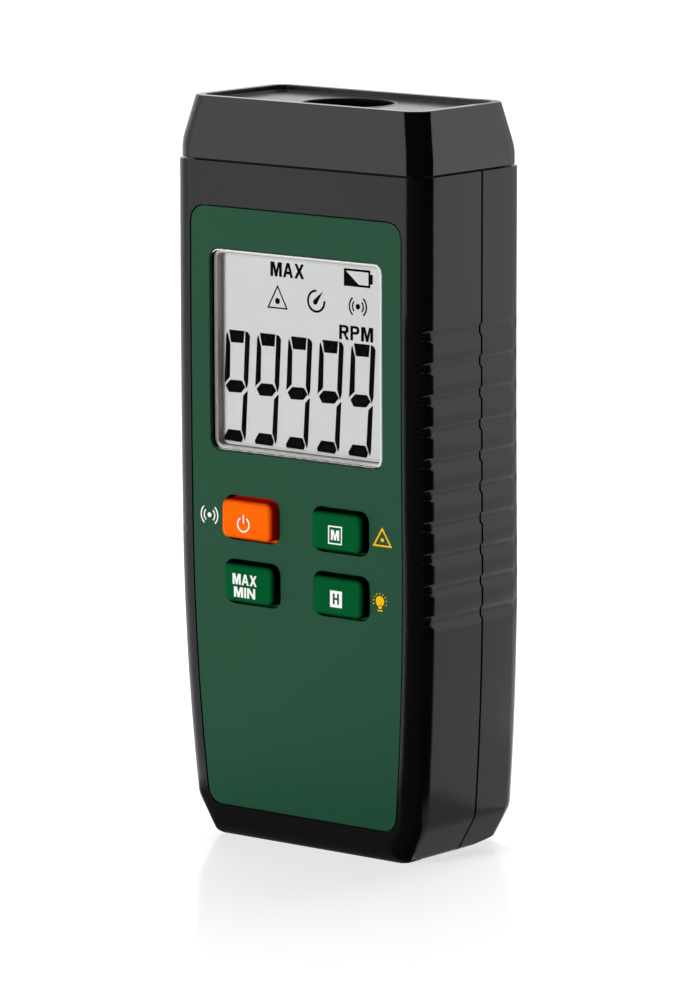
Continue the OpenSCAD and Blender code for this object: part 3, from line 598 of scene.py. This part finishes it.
# A face of the sunk top looks up or towards the middle
matt = [p for p in cap.polygons if TOP_FLOOR < p.center.z < RIM_TOP
    and p.normal.dot(Vector((p.center.x, p.center.y, -0.02))) < 0]
for polygon in matt:
    polygon.material_index = 1
print("matt faces on the cap:", len(matt))

# %% [markdown]
# The port in that floor is painted dull black inside, so that no stray light reaches the sensor. Its
# bevel and bore are the faces near the middle that don't point straight up.

# %% Blackened port
PORT_REACH = 9.4 * MM
STRAIGHT_UP = 0.98

# Matt black paint: swallows nearly all light
dull_black = moulded_plastic("dull_black_port_paint", "#020202", "#050505", 0.7, 0.3, 0.004, 0.05)
cap.materials.append(dull_black)
port = [p for p in cap.polygons
    if Vector((p.center.x, p.center.y)).length < PORT_REACH and p.normal.z < STRAIGHT_UP]
for polygon in port:
    polygon.material_index = 2
print("blackened faces:", len(port))

# %% [markdown]
# A thin moulded ring lies in the port's bevel and gives the opening its crisp lip. Its cross-section is
# a small closed loop, spun once about the port's axis.

# %% Port ring
RING_STEPS = 72


def closed_loop(bm, points):
    corners = [bm.verts.new(point) for point in points]
    return corners + [bm.edges.new((a, b)) for a, b in zip(corners, corners[1:] + corners[:1])]


bm = bmesh.new()
section = closed_loop(bm, [Vector((r, 0, z)) * MM
    for r, z in ((8.3, 132.2), (8.3, 132.95), (8.42, 133.06), (9.1, 133.06), (9.18, 132.99))])
bmesh.ops.spin(bm, geom=section, cent=(0, 0, 0), axis=(0, 0, 1), angle=math.tau, steps=RING_STEPS,
    use_merge=True)
bmesh.ops.recalc_face_normals(bm, faces=bm.faces)
ring = make_object("port_ring", bm, top_abs)
smooth_except_edges(ring.data)
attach(ring, "housing")
print("port_ring faces:", len(ring.data.polygons))

# %% [markdown]
# ## The tripod thread
# The brass bush in the back takes a tripod screw. Its thread is one ridge that winds along the bore: a
# small triangle, turned about the bore and moved on by a fraction of the pitch at each step.

# %% Thread in the bush
PITCH = 1.27
TURNS = 4
TURN_STEPS = 24
BORE = 2.56
CREST = 2.4
HALF_TOOTH = 0.3
LEAD_IN = 0.4

bush_low, bush_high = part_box("tripod_bush")
axis_z = (bush_low.z + bush_high.z) / 2 / MM
start_y = bush_high.y / MM - LEAD_IN - PITCH * TURNS
bm = bmesh.new()
tooth = closed_loop(bm, [(r, start_y + y, axis_z)
    for r, y in ((BORE, -HALF_TOOTH), (CREST, 0), (BORE, HALF_TOOTH))])
bmesh.ops.spin(bm, geom=tooth, cent=(0, 0, axis_z), axis=(0, 1, 0),
    dvec=(0, PITCH / TURN_STEPS, 0), angle=math.tau * TURNS, steps=TURN_STEPS * TURNS)
bmesh.ops.holes_fill(bm, edges=[e for e in bm.edges if e.is_boundary], sides=4)
bmesh.ops.recalc_face_normals(bm, faces=bm.faces)
bmesh.ops.scale(bm, vec=(MM, MM, MM), verts=bm.verts)
thread = make_object("tripod_thread", bm, brass)
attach(thread, "housing")
print("tripod_thread faces:", len(thread.data.polygons))

# %% [markdown]
# ## Inks
# Legends and display figures are thin printed layers. Screen ink is dull and slightly uneven, so a fine
# grit mixes two close shades. The display's dark figures are made the same way, with almost no gloss.

# %% Ink finishes
GRIT_MM = 0.25


def ink(name, colour, worn, gloss):
    finish, tree = start_finish(name)
    place = add(tree, "ShaderNodeTexCoord").outputs["Object"]
    grit = add(tree, "ShaderNodeTexNoise", {"Vector": place, "Scale": 1 / (GRIT_MM * MM), "Detail": 2.0})
    shade = add(tree, "ShaderNodeMix", {0: grit.outputs["Fac"], 6: linear(colour), 7: linear(worn)},
        data_type="RGBA")
    skin = add(tree, "ShaderNodeBsdfPrincipled",
        {"Base Color": shade.outputs[2], "Roughness": 0.5, "Specular IOR Level": gloss})
    add(tree, "ShaderNodeOutputMaterial", {"Surface": skin.outputs[0]})
    return finish


display_ink = ink("dark_liquid_crystal", "#040404", "#080808", 0.02)
# White ink prints the legends, and also paints the highlight on the window's edges
white_print_and_highlight_ink = ink("white_screen_ink_and_painted_highlight", "#f4f5f2", "#e6e8e4", 0.2)
green_ink = ink("dark_green_screen_ink", "#003a1c", "#00401f", 0.05)
yellow_ink = ink("yellow_screen_ink", "#f3bd0c", "#e9b308", 0.05)
print("inks:", [m.name for m in (display_ink, white_print_and_highlight_ink, green_ink, yellow_ink)])

# %% [markdown]
# ## Drawing flat shapes
# Each print is first drawn flat in millimetres, as seen from the front, with x to the right and z up. A
# patch is one face, an outline is that face with an inset and no middle, a dot is a filled circle, and
# a band of a ring is a short spoke spun about a centre.

# %% Patches, outlines, dots and bands
def patch(bm, outline):
    return bm.faces.new([bm.verts.new((x, 0, z)) for x, z in outline])


def keep_border(bm, face, width):
    face.normal_update()
    bmesh.ops.inset_individual(bm, faces=[face], thickness=width, use_even_offset=True)
    bmesh.ops.delete(bm, geom=[face], context="FACES_ONLY")


def outlined(bm, outline, width):
    keep_border(bm, patch(bm, outline), width)


def dot(bm, centre, radius, segments=20):
    upright = Matrix.Translation((centre[0], 0, centre[1])) @ Matrix.Rotation(math.radians(90), 4, "X")
    bmesh.ops.create_circle(bm, cap_ends=True, segments=segments, radius=radius, matrix=upright)


def band(bm, centre, radius, width, start, end):
    a = math.radians(start)
    spoke = [bm.verts.new((centre[0] + r * math.cos(a), 0, centre[1] + r * math.sin(a)))
        for r in (radius - width / 2, radius + width / 2)]
    edge = bm.edges.new(spoke)
    bmesh.ops.spin(bm, geom=[*spoke, edge], cent=(centre[0], 0, centre[1]), axis=(0, -1, 0),
        angle=math.radians(end - start), steps=max(6, round((end - start) / 10)))


# %% [markdown]
# Rounded frames border the window and the display. A frame is a rectangle with its corner points
# bevelled, kept as a border. A plane can cut a part of it away, and level cuts across a long strip let
# it follow the bow of the front.

# %% Frames and cuts
def rounded_frame(low, high, radius, width):
    bm = bmesh.new()
    patch(bm, [low, (high[0], low[1]), high, (low[0], high[1])])
    bmesh.ops.bevel(bm, geom=bm.verts[:], offset=radius, offset_type="OFFSET", affect="VERTICES",
        segments=6, profile=0.5, material=-1)
    keep_border(bm, bm.faces[:][0], width)
    return bm


def cut_away(bm, point, direction):
    bmesh.ops.bisect_plane(bm, geom=bm.verts[:] + bm.edges[:] + bm.faces[:], clear_outer=True,
        plane_co=(point[0], 0, point[1]), plane_no=(direction[0], 0, direction[1]))


def cut_across(bm, spacing):
    heights = [v.co.z for v in bm.verts]
    for i in range(1, int((max(heights) - min(heights)) / spacing) + 1):
        bmesh.ops.bisect_plane(bm, geom=bm.verts[:] + bm.edges[:] + bm.faces[:],
            plane_co=(0, 0, min(heights) + i * spacing), plane_no=(0, 0, 1))


# %% [markdown]
# A finished drawing gets the thickness of a layer of ink by an extrusion towards the front. Then every
# point moves to its surface, which is given as a depth for each height.

# %% Laying ink on a surface
INK_MM = 0.03
SAME_POINT_MM = 0.0005


def lay(name, bm, surface, finish, body):
    bmesh.ops.remove_doubles(bm, verts=bm.verts, dist=SAME_POINT_MM)
    raised = bmesh.ops.extrude_face_region(bm, geom=bm.faces[:], use_keep_orig=True)["geom"]
    lifted = [g for g in raised if isinstance(g, bmesh.types.BMVert)]
    bmesh.ops.translate(bm, verts=lifted, vec=(0, -INK_MM, 0))
    bmesh.ops.recalc_face_normals(bm, faces=bm.faces)
    for v in bm.verts:
        v.co = Vector((v.co.x, v.co.y + surface(v.co.z), v.co.z)) * MM
    piece = make_object(name, bm, finish)
    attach(piece, body)
    print(name, "faces:", len(piece.data.polygons))


# %% [markdown]
# ## Letters
# The legends use a bold upright letter without serifs. Blender's built-in font is too light, and
# fattening it closes the corners of the M, so the few letters that occur are drawn as outlines on a
# unit square. Each has its own width.

# %% Letters
half_a = [(0, 0), (0.36, 1), (0.5, 1), (0.5, 0.74), (0.38, 0.42), (0.5, 0.42), (0.5, 0.22),
    (0.32, 0.22), (0.26, 0)]
stem = [(0, 0), (0, 1), (0.28, 1), (0.28, 0.83), (0.28, 0.6), (0.28, 0.42), (0.28, 0)]
bowl = [(0.28, 1), (0.68, 1), (0.86, 0.94), (0.95, 0.82), (0.95, 0.62), (0.87, 0.49), (0.68, 0.42),
    (0.42, 0.42), (0.28, 0.42), (0.28, 0.6), (0.58, 0.6), (0.66, 0.65), (0.67, 0.715), (0.66, 0.78),
    (0.58, 0.83), (0.28, 0.83)]
letters = {
    "M": (1.15, [[(0, 0), (0, 1), (0.33, 1), (0.5, 0.42), (0.67, 1), (1, 1), (1, 0), (0.76, 0),
        (0.76, 0.68), (0.6, 0), (0.4, 0), (0.24, 0.68), (0.24, 0)]]),
    "A": (1.0, [half_a, [(1 - u, v) for u, v in reversed(half_a)]]),
    "X": (1.0, [[(0, 0), (0.34, 0.51), (0.02, 1), (0.3, 1), (0.5, 0.69), (0.7, 1), (0.98, 1),
        (0.66, 0.51), (1, 0), (0.71, 0), (0.5, 0.33), (0.29, 0)]]),
    "I": (0.25, [[(0, 0), (0, 1), (1, 1), (1, 0)]]),
    "N": (1.0, [[(0, 0), (0, 1), (0.27, 1), (0.75, 0.38), (0.75, 1), (1, 1), (1, 0), (0.73, 0),
        (0.25, 0.62), (0.25, 0)]]),
    "R": (0.95, [stem, bowl, [(0.42, 0.42), (0.68, 0.42), (1, 0), (0.7, 0)]]),
    "P": (0.9, [stem, bowl]),
    "H": (1.0, [[(0, 0), (0, 1), (0.28, 1), (0.28, 0.6), (0.72, 0.6), (0.72, 1), (1, 1), (1, 0),
        (0.72, 0), (0.72, 0.42), (0.28, 0.42), (0.28, 0)]]),
}
print("letters:", "".join(letters))

# %% [markdown]
# A word is fitted to the box that it fills: its letters and gaps share the width, and each letter is
# stretched to the height.

# %% Words
LETTER_GAP = 0.13


def words(bm, text, low, high):
    span = sum(letters[c][0] for c in text) + LETTER_GAP * (len(text) - 1)
    wide = (high[0] - low[0]) / span
    tall = high[1] - low[1]
    x = low[0]
    for c in text:
        width, outlines = letters[c]
        for outline in outlines:
            patch(bm, [(x + u * width * wide, low[1] + v * tall) for u, v in outline])
        x += (width + LETTER_GAP) * wide


# %% [markdown]
# ## The display's figures
# Five slanted digits fill the lower half. Each is a nine, which lights six of its seven segments. One
# is drawn as six patches about its own middle, and the rest repeat it a pitch apart. The slant is a
# shear, so a point moves to the right with its height.

# %% Digits
DISPLAY_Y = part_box("lcd_glass")[0].y / MM
DIGITS = 5
DIGIT_PITCH = 7.1
FIRST_DIGIT_X = -15.36
DIGIT_MIDDLE_Z = 82.5
DIGIT_SLANT = 0.052
digit_segments = [
    [(-2.16, 92.55), (1.40, 92.55), (1.27, 90.35), (-1.59, 90.3)],
    [(-2.52, 92.15), (-1.72, 90.0), (-1.55, 84.0), (-2.75, 82.8), (-2.73, 91.5)],
    [(1.62, 92.55), (2.25, 92.35), (2.71, 91.75), (2.69, 83.25), (2.36, 82.2), (1.62, 84)],
    [(-2.44, 82.45), (-1.42, 83.55), (1.22, 83.6), (2.12, 82.5), (1.15, 81.4), (-1.62, 81.3)],
    [(2.67, 81.9), (2.38, 81.7), (1.65, 80.9), (1.57, 74.8), (2.43, 72.85), (2.65, 73.8)],
    [(-2.38, 73.15), (-1.49, 74.6), (1.34, 74.6), (2.05, 73.3), (1.72, 72.5), (-2.17, 72.55)],
]


def on_display(z):
    return DISPLAY_Y


bm = bmesh.new()
for i in range(DIGITS):
    middle = FIRST_DIGIT_X + i * DIGIT_PITCH
    for outline in digit_segments:
        patch(bm, [(middle + x + DIGIT_SLANT * (z - DIGIT_MIDDLE_Z), z) for x, z in outline])
lay("display_digits", bm, on_display, display_ink, "housing")

# %% [markdown]
# Small signs stand above the digits: which reading is held, the unit, the state of the battery, a
# timer, the beam and the radio link. The radio sign comes back on the panel, so it has a function: a
# dot with two bands on either side.

# %% Display signs
OTHER_SIDE_DEG = 180.7
RADIO_SIGN = (12.29, 99.05)


def radio_waves(bm, centre, core, bands):
    dot(bm, centre, core)
    for turn in (0, OTHER_SIDE_DEG):
        for radius, width, half_angle in bands:
            band(bm, centre, radius, width, turn - half_angle, turn + half_angle)


bm = bmesh.new()
words(bm, "MAX", (-7.45, 102.9), (0.2, 105.5))
words(bm, "RPM", (8.1, 93), (15.7, 95.57))
lay("display_words", bm, on_display, display_ink, "housing")

bm = bmesh.new()
outlined(bm, [(-8.2, 97.18), (-3.52, 97.18), (-5.84, 101.48)], 0.26)
dot(bm, (-5.85, 98.55), 0.55)
band(bm, (2.92, 99.25), 1.85, 0.42, 88, 365)
dot(bm, (2.72, 99.1), 0.5)
patch(bm, [(2.4, 99.45), (3.05, 98.75), (4.45, 101.12)])
radio_waves(bm, RADIO_SIGN, 0.5, [(1.2, 0.3, 45), (1.9, 0.32, 52)])
outlined(bm, [(9.15, 102.52), (15.05, 102.52), (15.05, 105.63), (9.15, 105.63)], 0.4)
patch(bm, [(15.05, 103.2), (15.6, 103.2), (15.6, 104.9), (15.05, 104.9)])
patch(bm, [(9.55, 102.92), (12.5, 102.92), (9.55, 105.23)])
lay("display_icons", bm, on_display, display_ink, "housing")

# %% [markdown]
# ## Around the display
# A foam gasket keeps dust out between the window and the display. It is a short tube: a box without
# its front and back, its corner edges rounded, and then given a wall. Through the window one sees it
# at the left, in the shade. Panel and window bow gently towards the back, and the gasket's front edge
# follows them.

# %% Foam gasket
BOW_START_Z = 103.3
BOW_RADIUS = 2564
PANEL_Y = -14.95
PANEL_T = 1.0
WINDOW_Z = 89.2
GASKET_HALF = (18.77, 17.47)
GASKET_WALL = 0.25
GASKET_CORNER = 1.3
GASKET_SLICE = 4
CLEAR = 0.01


def on_panel(z):
    return PANEL_Y + max(BOW_START_Z - z, 0) ** 2 / (2 * BOW_RADIUS)


# Closed-cell foam: pale, dull and a little pink, with a coarse skin
foam = moulded_plastic("grey_foam_gasket", "#a3989a", "#b4a9ab", 0.8, 0.4, 0.02, 0.2)
bm = bmesh.new()
window_back = PANEL_Y + PANEL_T
place = Matrix.Translation((0, (window_back + DISPLAY_Y) / 2, WINDOW_Z)) @ Matrix.Diagonal(
    (2 * GASKET_HALF[0], DISPLAY_Y - window_back, 2 * GASKET_HALF[1], 1))
bmesh.ops.create_cube(bm, size=1.0, matrix=place)
ends = [f for f in bm.faces if abs(f.normal.y) > 0.9]
bmesh.ops.delete(bm, geom=ends, context="FACES_ONLY")
corners = [e for e in bm.edges if abs(e.verts[0].co.y - e.verts[1].co.y) > 0.1]
bmesh.ops.bevel(bm, geom=corners, offset=GASKET_CORNER, offset_type="OFFSET", affect="EDGES",
    segments=6, profile=0.5, material=-1)
cut_across(bm, GASKET_SLICE)
for v in bm.verts:
    at_front = v.co.y < window_back + 0.1
    v.co.y = on_panel(v.co.z) + PANEL_T + CLEAR if at_front else DISPLAY_Y - CLEAR
bmesh.ops.recalc_face_normals(bm, faces=bm.faces)
bmesh.ops.solidify(bm, geom=bm.faces[:], thickness=GASKET_WALL)
bmesh.ops.scale(bm, vec=(MM, MM, MM), verts=bm.verts)
gasket = make_object("display_gasket", bm, foam)
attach(gasket, "housing")
reach = max(v.co.x for v in gasket.data.vertices)
print("display_gasket reaches", round(reach / MM, 2), "mm to the side")

# %% [markdown]
# The window's back has a narrow pale printed border that hides the ledge it is glued to. Its grey
# left part is painted shade. Fine slanting lines cross it at the bottom. One rounded frame is drawn
# twice, and a plane keeps the left part of one and the rest of the other.

# %% Printed borders
pale_ink = ink("pale_grey_screen_ink", "#d2d0d0", "#cac8c8", 0.2)
# Grey ink prints the slanting lines, and on the border's left part it is painted shade
grey_print_and_shade_ink = ink("grey_screen_ink", "#8f8789", "#978f91", 0.1)
BORDER_HALF = (19.2, 17.9)
BORDER_W = 0.5
BORDER_CORNER = 1.7
LEFT_CUT = -18.6
SLICE = 3
LINES = 13
FIRST_LINE_X = -17.8
LINE_PITCH = 2.5
LINE_RUN = 5


def on_window_back(z):
    return on_panel(z) + PANEL_T - CLEAR


def half_box(half):
    return (-half[0], WINDOW_Z - half[1]), (half[0], WINDOW_Z + half[1])


# The pale border and its grey left part, which is painted shade
for name, away, finish in (("window_border", -1, pale_ink), ("window_left_border_painted_shade", 1, grey_print_and_shade_ink)):
    bm = rounded_frame(*half_box(BORDER_HALF), BORDER_CORNER, BORDER_W)
    cut_away(bm, (LEFT_CUT, 0), (away, 0))
    cut_across(bm, SLICE)
    lay(name, bm, on_window_back, finish, "housing")

bm = bmesh.new()
low_z = WINDOW_Z - BORDER_HALF[1]
for i in range(LINES):
    x = FIRST_LINE_X + LINE_PITCH * i
    end_x = x + LINE_RUN
    patch(bm, [(x, low_z + 0.5), (end_x, low_z + 0.02), (end_x, low_z - 0.06), (x, low_z + 0.42)])
lay("border_lines", bm, lambda z: on_window_back(z) - CLEAR - INK_MM, grey_print_and_shade_ink, "housing")

# %% [markdown]
# The display itself has two thin border lines, and the window's polished upper and right edges shine.
# The shine is a painted highlight: a white frame, cut off along the diagonal between the other two
# corners.

# %% Border lines and bright edge
BRIGHT_HALF = (19.24, 17.94)
BRIGHT_CUT = (-18.6, WINDOW_Z + 17.0)
BRIGHT_DEPTH = 0.11

light_ink = ink("light_grey_screen_ink", "#a9a5a6", "#b1adae", 0.1)
bm = rounded_frame(*half_box((18.1, 17.05)), 1.2, 0.07)
lay("display_outer_line", bm, on_display, light_ink, "housing")
bm = rounded_frame(*half_box((17.75, 16.8)), 1.0, 0.06)
lay("display_inner_line", bm, on_display, light_ink, "housing")

# Painted highlight: a white frame where the window's upper and right edges shine
bm = rounded_frame(*half_box(BRIGHT_HALF), 1.74, 0.17)
cut_away(bm, BRIGHT_CUT, (-BRIGHT_HALF[1], -BRIGHT_HALF[0]))
cut_across(bm, SLICE)
lay("window_painted_highlight", bm, lambda z: on_panel(z) + BRIGHT_DEPTH, white_print_and_highlight_ink, "housing")

# %% [markdown]
# ## Key legends
# The legends are screen printed and ride on their keys. A key's face is flat, so one depth serves the
# whole legend. The H stands dark on a white box, which lies under it as a layer of its own.

# %% Key legends
def on_key(node):
    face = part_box(node)[0].y / MM
    return lambda z: face


bm = bmesh.new()
band(bm, (-10.58, 58.52), 1.3, 0.27, 122, 418)
patch(bm, [(-10.71, 58.7), (-10.45, 58.7), (-10.45, 60.25), (-10.71, 60.25)])
lay("power_legend", bm, on_key("power_key"), white_print_and_highlight_ink, "power_key_body")

bm = bmesh.new()
words(bm, "MAX", (-13.53, 47.45), (-7.98, 49.4))
words(bm, "MIN", (-13.23, 45.15), (-8.34, 47.02))
lay("max_min_legend", bm, on_key("max_min_key"), white_print_and_highlight_ink, "max_min_key_body")

bm = bmesh.new()
outlined(bm, [(8.48, 57.1), (11.62, 57.1), (11.62, 60.4), (8.48, 60.4)], 0.25)
words(bm, "M", (9.13, 57.84), (10.97, 59.66))
lay("memory_legend", bm, on_key("memory_key"), white_print_and_highlight_ink, "memory_key_body")

on_hold_key = on_key("hold_key")
bm = bmesh.new()
patch(bm, [(8.74, 45.82), (11.43, 45.82), (11.43, 48.8), (8.74, 48.8)])
lay("hold_box", bm, on_hold_key, white_print_and_highlight_ink, "hold_key_body")
bm = bmesh.new()
words(bm, "H", (9.4, 46.38), (10.76, 48.3))
lay("hold_legend", bm, lambda z: on_hold_key(z) - INK_MM, green_ink, "hold_key_body")

# %% [markdown]
# ## Panel marks
# Beside the keys are the radio sign in white, and the beam and the lamp in yellow. The panel is bowed,
# so each point of a mark takes the depth of the panel under it.

# %% Panel marks
LINK_MARK = (-19.95, 59.08)
LAMP_MARK = (18.72, 47.65)
RAYS = 9
FIRST_RAY_DEG = -20
RAY_STEP_DEG = 27.5

bm = bmesh.new()
radio_waves(bm, LINK_MARK, 0.45, [(1.22, 0.26, 48), (1.93, 0.27, 50)])
lay("link_mark", bm, on_panel, white_print_and_highlight_ink, "housing")

bm = bmesh.new()
outlined(bm, [(17.25, 57.5), (21.6, 57.5), (19.42, 60.95)], 0.3)
dot(bm, (19.42, 58.7), 0.36)
dot(bm, (18.74, 47.7), 0.95)
patch(bm, [(18.25, 47.1), (18.4, 46.4), (19.08, 46.4), (19.23, 47.1)])
patch(bm, [(18.18, 45.92), (19.28, 45.92), (19.28, 46.15), (18.18, 46.15)])
for i in range(RAYS):
    a = math.radians(FIRST_RAY_DEG + RAY_STEP_DEG * i)
    dot(bm, (LAMP_MARK[0] + 1.48 * math.cos(a), LAMP_MARK[1] + 1.42 * math.sin(a)), 0.13, 8)
lay("beam_and_light_marks", bm, on_panel, yellow_ink, "housing")
